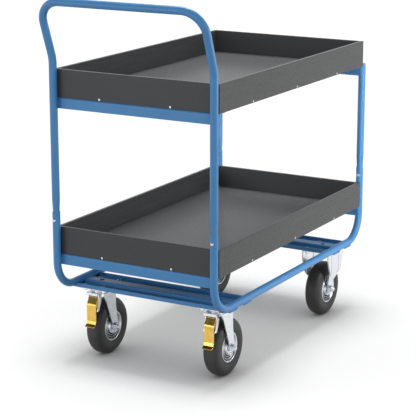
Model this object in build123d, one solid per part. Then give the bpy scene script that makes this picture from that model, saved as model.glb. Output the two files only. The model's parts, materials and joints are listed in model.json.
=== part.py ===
from build123d import *
import os

# Table trolley: a bent-tube frame with two board trays, a leaning push handle, two swivel castors
# with brakes at the handle end and two fixed castors at the far end.
# Millimetres, +Z up, floor at z = 0. The long side runs along Y, with the handle at -Y.
# Pieces are drawn about the middle of the trays and moved at the end by FRAME_Y, so that the origin
# is on the floor under the middle of the whole trolley. Left and right are those of the person pushing.

# Trays
TRAY_WIDTH = 500.0
TRAY_LENGTH = 870.0
TRAY_HEIGHT = 75.0
BOARD = 9.0
BOARD_EDGE = 1.0
TRAY_PITCH = 427.0
LOWER_TRAY_ABOVE_RUN = 97.0
END_SCREW_INSET = 143.0
SIDE_SCREW_INSET = 181.0
FIXING_SCREW_INSET = 90.0

# Wood screws
SCREW_SHANK_R = 1.5
SCREW_LENGTH = 28.0
FIXING_LENGTH = 9.0
SCREW_HEAD_R = 2.9
SCREW_HEAD_HEIGHT = 2.0
SCREW_FIT = 0.05

# Frame tube
TUBE_R = 10.65
TUBE_WALL = 1.5
POST_INSET = 8.0
POST_GAP = 2.0
RUN_BEND_R = 75.0
SEAM_ABOVE_RIM = 44.0
SEAM_EDGE = 0.5
SPIGOT_LENGTH = 45.0
SPIGOT_FIT = 0.05
TAPER_LENGTH = 35.0

# Push handle, far posts and their caps
KNEE_ABOVE_RIM = 29.0
KNEE_BEND_R = 80.0
BAR_RISE = 156.0
BAR_REACH = 57.0
BAR_BEND_R = 62.0
FAR_POST_ABOVE_TRAY = 2.0
CAP_HEIGHT = 5.0
CAP_EDGE = 2.0
CAP_PLUG_LENGTH = 14.0
CAP_FIT = 0.05

# Bolts of the tube joints
JOINT_BOLT_R = 2.5
JOINT_BOLT_FIT = 0.1
JOINT_BOLT_LENGTH = 8.0
JOINT_BELOW_SEAM = 23.0
JOINT_HEAD_R = 4.4
JOINT_HEAD_HEIGHT = 3.0
JOINT_HEAD_EDGE = 1.6

# Tray angles
ANGLE_SHEET = 3.0
ANGLE_DROP = 29.0
ANGLE_SHELF = 40.0
ANGLE_BEND_R = 4.0
ANGLE_LAP = 3.0

# Cross members
MEMBER_HEIGHT = 12.0
MEMBER_SHEET = 2.5
MEMBER_BEND_R = 3.0
MEMBER_BEYOND_BOLTS = 21.0
KINGPIN_ROOM = 6.0
WEB_RUN = 1.5
CENTRE_HOLE_R = 7.5
MEMBER_PAST_POST = 8.0
WELD_GAP = 0.05

# Castors, common sizes
CASTOR_INSIDE_POST_X = 57.0
CASTOR_INSIDE_POST_Y = 130.0
WHEEL_R = 80.0
CROWN_CLEARANCE = 27.0
FORK_SHEET = 4.0
HEAD_HEIGHT = 9.0
PLATE_SHEET = 4.0
PLATE_CORNER_R = 8.0
BOLT_PITCH_X = 60.0
BOLT_PITCH_Y = 80.0
CASTOR_BOLT_R = 4.0
CASTOR_BOLT_FIT = 0.1
CASTOR_BOLT_FLATS = 13.0
CASTOR_HEAD_R = 7.0
CASTOR_HEAD_HEIGHT = 4.4
CASTOR_HEAD_EDGE = 2.4
CASTOR_NUT_HEIGHT = 6.5
CASTOR_BOLT_TAIL = 1.0
SPANNER_ROOM = 3.5
PLATE_END_MARGIN = 11.0

# Wheels
TYRE_WIDTH = 46.0
TYRE_SHOULDER_R = 17.0
TYRE_BEAD_GAP = 1.5
RIM_SEAT_R = 38.5
RIM_FLANGE_WALL = 3.0
RIM_FLANGE_HEIGHT = 4.0
RIM_INSIDE_TYRE = 2.5
RIM_HALF_GAP = 0.1
RING_COUNT = 2
RING_DEPTH = 9.0
RING_FALL = 1.5
RING_HEIGHT = 6.0
RING_BEND_R = 1.8
HUB_R = 19.5
HUB_WALL = 3.0
HUB_INSIDE_TYRE = 0.5
BEARING_FIT = 0.05
BEARING_PROUD = 1.0
BEARING_STEP = 2.0
BEARING_SLEEVE_R = 10.0
LEG_GAP = 1.0

# Axle bolts
AXLE_R = 6.0
AXLE_FIT = 0.1
RUNNING_FIT = 0.05
AXLE_FLATS = 18.0
AXLE_HEAD_HEIGHT = 7.0
AXLE_NUT_HEIGHT = 9.0
AXLE_TAIL = 2.0

# Swivel heads and forks
TRAIL = 22.0
KINGPIN_R = 8.0
KINGPIN_FIT = 0.05
KINGPIN_HEAD_R = 12.0
KINGPIN_HEAD_HEIGHT = 4.5
KINGPIN_TOP_HEIGHT = 3.0
MOVING_GAP = 0.3
RACE_UPPER_R = 36.0
RACE_UPPER_HEIGHT = 4.0
RACE_LOWER_R = 33.0
RACE_EDGE = 1.2
FORK_BEND_R = 7.0
FORK_FRONT = 33.0
FORK_REAR = 24.0
FORK_SHOULDER_DROP = 7.0
FORK_REAR_DROP = 47.0
LEG_END_R = 11.5

# Brakes
BRACKET_SHEET = 3.0
BRACKET_SETBACK = 5.0
BRACKET_REAR = 13.5
BRAKE_PIN_R = 3.0
BRAKE_PIN_FIT = 0.03
BRAKE_PIN_HEAD_R = 4.5
BRAKE_PIN_HEAD = 1.5
PIVOT_BEHIND_FRONT = 20.0
PIVOT_DROP = 13.0
ARM_END_DROP = 47.0
ARM_END_SETBACK = 5.0
ARM_END_WIDTH = 8.0
ARM_TOP_WIDTH = 12.0
PEDAL_WIDTH = 29.0
PEDAL_SHEET = 2.5
PEDAL_BEND_R = 16.0
LIP_BEND_R = 5.0
PEDAL_SIDE_GAP = 0.5
EAR_R = 5.5
EAR_DEPTH = 24.0
PEDAL_TOP_DROP = 9.0
PEDAL_TOP_BACK = 15.0
HIGH_BEND_DROP = 29.0
HIGH_BEND_BACK = 3.0
LOW_BEND_ABOVE_AXLE = 32.0
LOW_BEND_BACK = 3.5
NECK_ABOVE_AXLE = 21.5
LIP_ABOVE_AXLE = 17.0
LIP_LEAD = 9.5

# Fixed forks
FIXED_SHOULDER_DROP = 24.0
FIXED_FLANK_HALF = 34.0
FIXED_FLANK_ABOVE_AXLE = 48.0
FIXED_WAIST_HALF = 16.0
FIXED_LEG_END_R = 15.0
FIXED_KNEE_ABOVE_AXLE = 24.0
FIXED_ELBOW_ABOVE_AXLE = 58.0
FIXED_BEND_R = 25.0
FIXED_TOP_BEND_R = 3.0
RIB_HEIGHT = 1.2
RIB_WIDTH = 8.0
RIB_Y = 25.0
RIB_TOP_MARGIN = 10.0

# Heights and places that follow from the sizes above
CASTOR_HEIGHT = 2 * WHEEL_R + CROWN_CLEARANCE + FORK_SHEET + HEAD_HEIGHT + PLATE_SHEET
PLATE_BOTTOM = CASTOR_HEIGHT - PLATE_SHEET
PLATE_MARGIN = CASTOR_BOLT_FLATS / 2 + SPANNER_ROOM + FORK_SHEET
PLATE_WIDTH = BOLT_PITCH_X + 2 * PLATE_MARGIN
PLATE_LENGTH = BOLT_PITCH_Y + 2 * PLATE_END_MARGIN
CROWN_TOP = PLATE_BOTTOM - HEAD_HEIGHT
CROWN_BOTTOM = CROWN_TOP - FORK_SHEET
RUN_Z = CASTOR_HEIGHT + MEMBER_HEIGHT
LOWER_TRAY_Z = RUN_Z + LOWER_TRAY_ABOVE_RUN
UPPER_TRAY_Z = LOWER_TRAY_Z + TRAY_PITCH
SEAM_Z = LOWER_TRAY_Z + TRAY_HEIGHT + SEAM_ABOVE_RIM
JOINT_Z = SEAM_Z - JOINT_BELOW_SEAM
UPRIGHT_Z = SEAM_Z + TAPER_LENGTH
KNEE_Z = UPPER_TRAY_Z + TRAY_HEIGHT + KNEE_ABOVE_RIM
BAR_Z = KNEE_Z + BAR_RISE
FAR_POST_TOP = UPPER_TRAY_Z + FAR_POST_ABOVE_TRAY
POST_X = TRAY_WIDTH / 2 - POST_INSET
POST_FACE_Y = TRAY_LENGTH / 2 + POST_GAP
POST_Y = POST_FACE_Y + TUBE_R
BAR_Y = POST_Y + BAR_REACH
END_SCREW_X = TRAY_WIDTH / 2 - END_SCREW_INSET
SIDE_SCREW_Y = TRAY_LENGTH / 2 - SIDE_SCREW_INSET
FIXING_SCREW_X = TRAY_WIDTH / 2 - FIXING_SCREW_INSET
CASTOR_X = POST_X - CASTOR_INSIDE_POST_X
CASTOR_Y = POST_Y - CASTOR_INSIDE_POST_Y
RIM_WIDTH = TYRE_WIDTH - 2 * RIM_INSIDE_TYRE
RIM_FLANGE_R = RIM_SEAT_R + RIM_FLANGE_HEIGHT
RIM_FACE_R = RIM_FLANGE_R - RIM_FLANGE_WALL
RING_PITCH = (RIM_FACE_R - HUB_R) / (2 * RING_COUNT)
HUB_BORE_R = HUB_R - HUB_WALL
HUB_REACH = TYRE_WIDTH / 2 - HUB_INSIDE_TYRE
BEARING_HALF_LENGTH = TYRE_WIDTH / 2 + BEARING_PROUD
FRAME_Y = BAR_REACH / 2
LEG_INNER_X = BEARING_HALF_LENGTH + LEG_GAP
LEG_OUTER_X = LEG_INNER_X + FORK_SHEET
LEG_MID_X = LEG_INNER_X + FORK_SHEET / 2
WHEEL_FRONT = TRAIL - WHEEL_R
BRACKET_FRONT = WHEEL_FRONT + BRACKET_SETBACK
PIVOT_Y = WHEEL_FRONT + PIVOT_BEHIND_FRONT
PIVOT_Z = CROWN_BOTTOM - PIVOT_DROP
ARM_INNER_X = PEDAL_WIDTH / 2 + PEDAL_SIDE_GAP
ARM_OUTER_X = ARM_INNER_X + BRACKET_SHEET

SIDES = {"left": -1, "right": 1}


def rod(radius, length, start=(0, 0, 0), direction=(0, 0, 1)):
    """A round rod that grows from start along direction."""
    return extrude(Plane(start, z_dir=direction) * Circle(radius), length)


def hexagon(flats, length, start, direction):
    """A hexagonal bar that grows from start along direction, given its size across flats."""
    outline = RegularPolygon(flats / 2, 6, major_radius=False, rotation=30)
    return extrude(Plane(start, z_dir=direction) * outline, length)


def side_prism(outline, half_width):
    """An outline drawn in (y, z), spread the same way to both sides along X."""
    return extrude(Plane.YZ * outline, half_width, both=True)


def cross_prism(outline, half_length):
    """An outline drawn in (x, z), spread the same way to both ends along Y."""
    return extrude(Plane.XZ * outline, half_length, both=True)


def mirrored(points):
    """The points of a half outline, followed by their mirror images in reverse order."""
    return points + [(-a, b) for a, b in reversed(points)]


def swept(section, path):
    """A section carried along a path of straight runs and tangent arcs."""
    return sweep(Plane(path @ 0, z_dir=path % 0) * section, path)


def frame_tube(path):
    """Frame tube along a path."""
    return swept(Circle(TUBE_R) - Circle(TUBE_R - TUBE_WALL), path)


def side_path(x):
    """Centre line of a lower side tube, from one riser through the run to the other."""
    return FilletPolyline(
        (x, -POST_Y, SEAM_Z),
        (x, -POST_Y, RUN_Z),
        (x, POST_Y, RUN_Z),
        (x, POST_Y, SEAM_Z),
        radius=RUN_BEND_R,
    )


def seam_edges(tube):
    """Outer edges of a riser at the seam."""
    circles = tube.edges().filter_by(GeomType.CIRCLE)
    level = [e for e in circles if abs(e.center().Z - SEAM_Z) < SEAM_EDGE / 2]
    return [e for e in level if abs(e.radius - TUBE_R) < TUBE_WALL / 2]


def joint_hole(x, y):
    """Hole for the bolt of one tube joint, in the side that faces the handle end."""
    return rod(JOINT_BOLT_R + JOINT_BOLT_FIT, 2 * TUBE_R, (x, y, JOINT_Z), (0, -1, 0))


def spigot(x, y):
    """Reduced end of an upright: a taper above the seam and a plug that goes into the riser below it."""
    radius = TUBE_R - TUBE_WALL - SPIGOT_FIT
    foot = (x, y, SEAM_Z - SPIGOT_LENGTH)
    taper = Cone(radius, TUBE_R, TAPER_LENGTH, align=(Align.CENTER, Align.CENTER, Align.MIN))
    bore = rod(radius - TUBE_WALL, SPIGOT_LENGTH + TAPER_LENGTH, foot)
    return rod(radius, SPIGOT_LENGTH, foot) + Pos(x, y, SEAM_Z) * taper - bore


def side_tube(x):
    """Lower side tube: run and two risers, drilled for the joint bolts."""
    tube = frame_tube(side_path(x))
    for y in (-POST_Y, POST_Y):
        tube -= joint_hole(x, y)
    return chamfer(seam_edges(tube), SEAM_EDGE)


def push_handle():
    """Push handle: uprights that lean outwards above the upper tray, joined by the bar."""
    path = FilletPolyline(
        (-POST_X, -POST_Y, UPRIGHT_Z),
        (-POST_X, -POST_Y, KNEE_Z),
        (-POST_X, -BAR_Y, BAR_Z),
        (POST_X, -BAR_Y, BAR_Z),
        (POST_X, -POST_Y, KNEE_Z),
        (POST_X, -POST_Y, UPRIGHT_Z),
        radius=[KNEE_BEND_R, BAR_BEND_R, BAR_BEND_R, KNEE_BEND_R],
    )
    tube = frame_tube(path)
    for x in (-POST_X, POST_X):
        tube += spigot(x, -POST_Y)
        tube -= joint_hole(x, -POST_Y)
    return tube


def far_post(x):
    """Short upright at the far end, open at its top."""
    height = FAR_POST_TOP - UPRIGHT_Z
    foot = (x, POST_Y, UPRIGHT_Z)
    tube = rod(TUBE_R, height, foot) - rod(TUBE_R - TUBE_WALL, height, foot)
    return tube + spigot(x, POST_Y) - joint_hole(x, POST_Y)


def post_cap(x):
    """Plastic cap pushed into the open top of a far post."""
    head = rod(TUBE_R, CAP_HEIGHT, (x, POST_Y, FAR_POST_TOP))
    head = fillet(head.faces().sort_by(Axis.Z)[-1].edges(), CAP_EDGE)
    start = (x, POST_Y, FAR_POST_TOP - CAP_PLUG_LENGTH)
    return head + rod(TUBE_R - TUBE_WALL - CAP_FIT, CAP_PLUG_LENGTH, start)


def joint_bolt(x, y):
    """Round-headed bolt screwed through a riser into the spigot of the upright above it."""
    seat = (x, y - TUBE_R, JOINT_Z)
    head = rod(JOINT_HEAD_R, JOINT_HEAD_HEIGHT, seat, (0, -1, 0))
    head = fillet(head.faces().sort_by(Axis.Y)[0].edges(), JOINT_HEAD_EDGE)
    return head + rod(JOINT_BOLT_R, JOINT_BOLT_LENGTH, seat, (0, 1, 0))


def tray_angle(tray_z, end):
    """Folded angle under one end of a tray, against the inner side of the posts."""
    flange_y = POST_FACE_Y - ANGLE_SHEET / 2
    shelf_z = tray_z - ANGLE_SHEET / 2
    line = FilletPolyline(
        (flange_y, tray_z - ANGLE_DROP),
        (flange_y, shelf_z),
        (flange_y + ANGLE_SHEET / 2 - ANGLE_SHELF, shelf_z),
        radius=ANGLE_BEND_R,
    )
    angle = side_prism(trace(line, ANGLE_SHEET), POST_X + ANGLE_LAP)
    if end < 0:
        angle = mirror(angle, Plane.XZ)
    for x in (-POST_X, POST_X):
        angle -= swept(Circle(TUBE_R + WELD_GAP), side_path(x))
    for screw in fixing_screws(tray_z, end, SCREW_FIT):
        angle -= screw
    return angle


def wood_screw(seat, direction, length, fit=0.0):
    """Countersunk wood screw with its head flush at the seat."""
    head = Plane(seat, z_dir=direction) * Cone(
        SCREW_HEAD_R + fit,
        SCREW_SHANK_R + fit,
        SCREW_HEAD_HEIGHT,
        align=(Align.CENTER, Align.CENTER, Align.MIN),
    )
    return head + rod(SCREW_SHANK_R + fit, length, seat, direction)


def board_screws(tray_z, fit=0.0):
    """Screws through the rim boards into the edges of one tray's base."""
    z = tray_z + BOARD / 2
    screws = []
    for side in (-1, 1):
        for x in (-END_SCREW_X, END_SCREW_X):
            screws.append(wood_screw((x, side * TRAY_LENGTH / 2, z), (0, -side, 0), SCREW_LENGTH, fit))
        for y in (-SIDE_SCREW_Y, 0, SIDE_SCREW_Y):
            screws.append(wood_screw((side * TRAY_WIDTH / 2, y, z), (-side, 0, 0), SCREW_LENGTH, fit))
    return screws


def fixing_screws(tray_z, end, fit=0.0):
    """Screws up through one tray angle into the base."""
    y = end * (POST_FACE_Y - ANGLE_SHELF / 2)
    z = tray_z - ANGLE_SHEET
    seats = [(x, y, z) for x in (-FIXING_SCREW_X, FIXING_SCREW_X)]
    return [wood_screw(seat, (0, 0, 1), FIXING_LENGTH, fit) for seat in seats]


def tray_boards(tray_z):
    """Base, long sides and short ends of one tray, with their screw holes and softened edges."""
    inner_width = TRAY_WIDTH - 2 * BOARD
    inner_length = TRAY_LENGTH - 2 * BOARD
    seat = (Align.CENTER, Align.CENTER, Align.MIN)
    base = Box(inner_width, inner_length, BOARD, align=seat)
    side = Box(BOARD, TRAY_LENGTH, TRAY_HEIGHT, align=seat)
    end = Box(inner_width, BOARD, TRAY_HEIGHT, align=seat)
    side_x = (TRAY_WIDTH - BOARD) / 2
    end_y = (TRAY_LENGTH - BOARD) / 2
    boards = {
        "base": Pos(0, 0, tray_z) * base,
        "left_side": Pos(-side_x, 0, tray_z) * side,
        "right_side": Pos(side_x, 0, tray_z) * side,
        "handle_end": Pos(0, -end_y, tray_z) * end,
        "far_end": Pos(0, end_y, tray_z) * end,
    }
    holes = board_screws(tray_z, SCREW_FIT)
    for end_side in (-1, 1):
        holes += fixing_screws(tray_z, end_side, SCREW_FIT)
    for name, board in boards.items():
        if name != "base":
            top = board.faces().sort_by(Axis.Z)[-1]
            board = fillet(top.edges(), BOARD_EDGE)
        boards[name] = board - holes
    return boards


def member_outline():
    """Pressed profile of a cross member: upturned lips, two valleys and a raised middle."""
    half = MEMBER_SHEET / 2
    foot = KINGPIN_HEAD_R + KINGPIN_ROOM
    lip = BOLT_PITCH_Y / 2 + MEMBER_BEYOND_BOLTS - half
    low = CASTOR_HEIGHT + half
    high = RUN_Z - half
    line = FilletPolyline(
        *mirrored([(-lip, RUN_Z), (-lip, low), (-foot, low), (-foot + WEB_RUN, high)]),
        radius=MEMBER_BEND_R,
    )
    return trace(line, MEMBER_SHEET)


def bolt_places(end):
    """Places of the castor bolts at one end of the trolley, four for each castor."""
    places = []
    for side in (-1, 1):
        for x in (-BOLT_PITCH_X / 2, BOLT_PITCH_X / 2):
            for y in (-BOLT_PITCH_Y / 2, BOLT_PITCH_Y / 2):
                places.append((side * CASTOR_X + x, end * CASTOR_Y + y))
    return places


def cross_member(end):
    """Pressed cross member under both side tubes, drilled for two castors."""
    member = Pos(0, end * CASTOR_Y, 0) * side_prism(member_outline(), POST_X + MEMBER_PAST_POST)
    for x in (-POST_X, POST_X):
        member -= swept(Circle(TUBE_R + WELD_GAP), side_path(x))
    for x, y in bolt_places(end):
        start = (x, y, CASTOR_HEIGHT - MEMBER_SHEET)
        member -= rod(CASTOR_BOLT_R + CASTOR_BOLT_FIT, 3 * MEMBER_SHEET, start)
    for side in SIDES.values():
        start = (side * CASTOR_X, end * CASTOR_Y, CASTOR_HEIGHT)
        member -= rod(CENTRE_HOLE_R, 2 * MEMBER_HEIGHT, start)
    return max(member.solids(), key=lambda solid: solid.volume)


def castor_bolt(x, y):
    """Round-headed bolt from above, through a valley of a cross member and a castor plate."""
    seat = (x, y, CASTOR_HEIGHT + MEMBER_SHEET)
    head = rod(CASTOR_HEAD_R, CASTOR_HEAD_HEIGHT, seat)
    head = fillet(head.faces().sort_by(Axis.Z)[-1].edges(), CASTOR_HEAD_EDGE)
    length = MEMBER_SHEET + PLATE_SHEET + CASTOR_NUT_HEIGHT + CASTOR_BOLT_TAIL
    return head + rod(CASTOR_BOLT_R, length, seat, (0, 0, -1))


def castor_nut(x, y):
    """Nut of one castor bolt, under the castor plate."""
    nut = hexagon(CASTOR_BOLT_FLATS, CASTOR_NUT_HEIGHT, (x, y, PLATE_BOTTOM), (0, 0, -1))
    return nut - rod(CASTOR_BOLT_R, CASTOR_NUT_HEIGHT, (x, y, PLATE_BOTTOM), (0, 0, -1))


def plate_blank():
    """Flat castor plate, about the castor's own axis."""
    outline = RectangleRounded(PLATE_WIDTH, PLATE_LENGTH, PLATE_CORNER_R)
    return extrude(Pos(0, 0, PLATE_BOTTOM) * outline, PLATE_SHEET)


def plate_holes():
    """The four bolt holes of a castor plate."""
    holes = []
    for x in (-BOLT_PITCH_X / 2, BOLT_PITCH_X / 2):
        for y in (-BOLT_PITCH_Y / 2, BOLT_PITCH_Y / 2):
            start = (x, y, PLATE_BOTTOM - PLATE_SHEET)
            holes.append(rod(CASTOR_BOLT_R + CASTOR_BOLT_FIT, 3 * PLATE_SHEET, start))
    return holes


def swivel_plate():
    """Top plate of a swivel castor with its pressed upper race."""
    race = rod(RACE_UPPER_R, RACE_UPPER_HEIGHT, (0, 0, PLATE_BOTTOM), (0, 0, -1))
    race = fillet(race.faces().sort_by(Axis.Z)[0].edges(), RACE_EDGE)
    race_bottom = PLATE_BOTTOM - RACE_UPPER_HEIGHT
    bore = rod(KINGPIN_R + KINGPIN_FIT, CASTOR_HEIGHT - race_bottom, (0, 0, race_bottom))
    return plate_blank() + race - bore - plate_holes()


def race_ring():
    """Lower race ring, pressed onto the crown of a swivel fork."""
    height = HEAD_HEIGHT - RACE_UPPER_HEIGHT - MOVING_GAP
    ring = rod(RACE_LOWER_R, height, (0, 0, CROWN_TOP))
    ring = fillet(ring.faces().sort_by(Axis.Z)[-1].edges(), RACE_EDGE)
    return ring - rod(KINGPIN_R + RUNNING_FIT, height, (0, 0, CROWN_TOP))


def kingpin():
    """Riveted pin on which a swivel fork turns."""
    low = CROWN_BOTTOM - MOVING_GAP
    pin = rod(KINGPIN_R, CASTOR_HEIGHT - low, (0, 0, low))
    head = rod(KINGPIN_HEAD_R, KINGPIN_HEAD_HEIGHT, (0, 0, low), (0, 0, -1))
    return pin + head + rod(KINGPIN_HEAD_R, KINGPIN_TOP_HEIGHT, (0, 0, CASTOR_HEIGHT))


def axle_holes(y):
    """Holes for the axle bolt through both legs of a fork."""
    return rod(AXLE_R + AXLE_FIT, 4 * LEG_OUTER_X, (-2 * LEG_OUTER_X, y, WHEEL_R), (1, 0, 0))


def swivel_fork():
    """Swivel fork, folded from sheet: crown with a front tongue and two legs down to the axle."""
    leg_low = WHEEL_R - 2 * LEG_END_R
    crown_z = CROWN_TOP - FORK_SHEET / 2
    line = FilletPolyline(
        *mirrored([(-LEG_MID_X, leg_low), (-LEG_MID_X, crown_z)]),
        radius=FORK_BEND_R,
    )
    folded = cross_prism(trace(line, FORK_SHEET), FORK_FRONT + FORK_REAR + TRAIL)
    outline = Polygon(
        (-FORK_FRONT, CROWN_TOP),
        (-FORK_FRONT, CROWN_TOP - FORK_SHOULDER_DROP),
        (TRAIL - LEG_END_R, WHEEL_R),
        (TRAIL + LEG_END_R, WHEEL_R),
        (FORK_REAR, CROWN_BOTTOM - FORK_REAR_DROP),
        (FORK_REAR, CROWN_TOP),
        align=None,
    )
    outline += Pos(TRAIL, WHEEL_R) * Circle(LEG_END_R)
    tongue = Polygon(
        (BRACKET_FRONT, CROWN_TOP),
        (BRACKET_FRONT, CROWN_BOTTOM),
        (0, CROWN_BOTTOM),
        (0, CROWN_TOP),
        align=None,
    )
    fork = (folded & side_prism(outline, 2 * LEG_OUTER_X)) + side_prism(tongue, ARM_OUTER_X)
    fork -= rod(KINGPIN_R + RUNNING_FIT, 2 * FORK_SHEET, (0, 0, CROWN_BOTTOM - FORK_SHEET))
    return fork - axle_holes(TRAIL)


def fixed_fork():
    """Fixed fork, pressed in one piece: plate with two ribbed legs that draw in towards the axle."""
    leg_top_x = (PLATE_WIDTH - FORK_SHEET) / 2
    knee_z = WHEEL_R + FIXED_KNEE_ABOVE_AXLE
    flank_z = WHEEL_R + FIXED_FLANK_ABOVE_AXLE
    leg = [
        (-LEG_MID_X, WHEEL_R - 2 * FIXED_LEG_END_R),
        (-LEG_MID_X, knee_z),
        (-leg_top_x, WHEEL_R + FIXED_ELBOW_ABOVE_AXLE),
        (-leg_top_x, CASTOR_HEIGHT - FORK_SHEET / 2),
    ]
    bends = [FIXED_BEND_R, FIXED_BEND_R, FIXED_TOP_BEND_R]
    line = FilletPolyline(*mirrored(leg), radius=bends + bends[::-1])
    outline = Polygon(
        *mirrored(
            [
                (-PLATE_LENGTH / 2, CASTOR_HEIGHT),
                (-PLATE_LENGTH / 2, CASTOR_HEIGHT - FIXED_SHOULDER_DROP),
                (-FIXED_FLANK_HALF, flank_z),
                (-FIXED_WAIST_HALF, knee_z),
                (-FIXED_LEG_END_R, WHEEL_R),
            ]
        ),
        align=None,
    )
    outline += Pos(0, WHEEL_R) * Circle(FIXED_LEG_END_R)
    folded = cross_prism(trace(line, FORK_SHEET), PLATE_LENGTH)
    fork = plate_blank() + (folded & side_prism(outline, PLATE_WIDTH))
    rib_line = FilletPolyline(*leg, radius=FIXED_BEND_R)
    raised = cross_prism(trace(rib_line, FORK_SHEET + 2 * RIB_HEIGHT), PLATE_LENGTH)
    rib_top = CASTOR_HEIGHT - RIB_TOP_MARGIN
    rib = Pos(0, (flank_z + rib_top) / 2) * Rectangle(RIB_WIDTH, rib_top - flank_z)
    for y in (-RIB_Y, RIB_Y):
        left_rib = raised & side_prism(Pos(y, 0) * rib, PLATE_WIDTH)
        fork = fork + left_rib + mirror(left_rib, Plane.YZ)
    return fork - plate_holes() - axle_holes(0)


def axle_bolt(y, outer_x):
    """Axle bolt across a fork, with its head on the left."""
    head = hexagon(AXLE_FLATS, AXLE_HEAD_HEIGHT, (-outer_x, y, WHEEL_R), (-1, 0, 0))
    length = 2 * outer_x + AXLE_NUT_HEIGHT + AXLE_TAIL
    return head + rod(AXLE_R, length, (-outer_x, y, WHEEL_R), (1, 0, 0))


def axle_nut(y, outer_x):
    """Nut of an axle bolt, on the right."""
    nut = hexagon(AXLE_FLATS, AXLE_NUT_HEIGHT, (outer_x, y, WHEEL_R), (1, 0, 0))
    return nut - rod(AXLE_R, AXLE_NUT_HEIGHT, (outer_x, y, WHEEL_R), (1, 0, 0))


def brake_bracket():
    """Bracket under the tongue of a swivel fork: a flange with two arms for the pin."""
    flange = Polygon(
        (BRACKET_FRONT, CROWN_BOTTOM),
        (BRACKET_FRONT, CROWN_BOTTOM - BRACKET_SHEET),
        (-BRACKET_REAR, CROWN_BOTTOM - BRACKET_SHEET),
        (-BRACKET_REAR, CROWN_BOTTOM),
        align=None,
    )
    end_front = WHEEL_FRONT + ARM_END_SETBACK
    end_z = CROWN_BOTTOM - ARM_END_DROP
    outline = Polygon(
        (PIVOT_Y - ARM_TOP_WIDTH / 2, CROWN_BOTTOM),
        (PIVOT_Y - ARM_TOP_WIDTH / 2, PIVOT_Z - EAR_R),
        (end_front, end_z),
        (end_front + ARM_END_WIDTH, end_z),
        (PIVOT_Y + ARM_TOP_WIDTH / 2, PIVOT_Z - EAR_R),
        (PIVOT_Y + ARM_TOP_WIDTH / 2, CROWN_BOTTOM),
        align=None,
    )
    arms = side_prism(outline, ARM_OUTER_X) - side_prism(outline, ARM_INNER_X)
    start = (-2 * ARM_OUTER_X, PIVOT_Y, PIVOT_Z)
    bore = rod(BRAKE_PIN_R + BRAKE_PIN_FIT, 4 * ARM_OUTER_X, start, (1, 0, 0))
    return side_prism(flange, ARM_OUTER_X) + arms - bore


def brake_pin():
    """Riveted pin through both arms of a brake bracket."""
    pin = rod(BRAKE_PIN_R, 2 * ARM_OUTER_X, (-ARM_OUTER_X, PIVOT_Y, PIVOT_Z), (1, 0, 0))
    for side in (-1, 1):
        seat = (side * ARM_OUTER_X, PIVOT_Y, PIVOT_Z)
        pin += rod(BRAKE_PIN_HEAD_R, BRAKE_PIN_HEAD, seat, (side, 0, 0))
    return pin


def brake_pedal():
    """Brake pedal: a strip bent out at its top and foot to a turned-out lip, hung from two ears."""
    top = (WHEEL_FRONT + PEDAL_TOP_BACK, CROWN_BOTTOM - PEDAL_TOP_DROP)
    high_bend = (WHEEL_FRONT + HIGH_BEND_BACK, CROWN_BOTTOM - HIGH_BEND_DROP)
    line = FilletPolyline(
        top,
        high_bend,
        (WHEEL_FRONT + LOW_BEND_BACK, WHEEL_R + LOW_BEND_ABOVE_AXLE),
        (WHEEL_FRONT, WHEEL_R + NECK_ABOVE_AXLE),
        (WHEEL_FRONT - LIP_LEAD, WHEEL_R + LIP_ABOVE_AXLE),
        radius=[PEDAL_BEND_R, PEDAL_BEND_R, LIP_BEND_R],
    )
    strip = side_prism(trace(line, PEDAL_SHEET), PEDAL_WIDTH / 2)
    ear = Polygon(
        top,
        high_bend,
        (high_bend[0] + PEDAL_SHEET, PIVOT_Z - EAR_DEPTH),
        (PIVOT_Y + EAR_R, PIVOT_Z),
        align=None,
    )
    ear += Pos(PIVOT_Y, PIVOT_Z) * Circle(EAR_R)
    ears = side_prism(ear, PEDAL_WIDTH / 2) - side_prism(ear, PEDAL_WIDTH / 2 - PEDAL_SHEET)
    bore = rod(BRAKE_PIN_R + RUNNING_FIT, 2 * PEDAL_WIDTH, (-PEDAL_WIDTH, PIVOT_Y, PIVOT_Z), (1, 0, 0))
    return strip + ears - bore


def turned(outline, y):
    """A ring turned about the axle, from an outline drawn in (x, distance from the axle)."""
    return Pos(0, y, WHEEL_R) * revolve(Plane.XZ * outline, Axis.X)


def tyre(y):
    """Solid rubber tyre with rounded shoulders, seated between the rim flanges."""
    flange_in = RIM_WIDTH / 2 - RIM_FLANGE_WALL
    lip = RIM_FLANGE_R + TYRE_BEAD_GAP
    half = TYRE_WIDTH / 2
    straight = [
        (-half + TYRE_SHOULDER_R, WHEEL_R),
        (-half, WHEEL_R - TYRE_SHOULDER_R),
        (-half, (lip + WHEEL_R - TYRE_SHOULDER_R) / 2),
        (-RIM_WIDTH / 2, lip),
        (-flange_in, lip),
        (-flange_in, RIM_SEAT_R),
    ]
    section = Polygon(*mirrored(straight), align=None)
    for side in (-1, 1):
        centre = (side * (half - TYRE_SHOULDER_R), WHEEL_R - TYRE_SHOULDER_R)
        section += Pos(*centre) * Circle(TYRE_SHOULDER_R)
    return turned(section, y)


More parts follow.
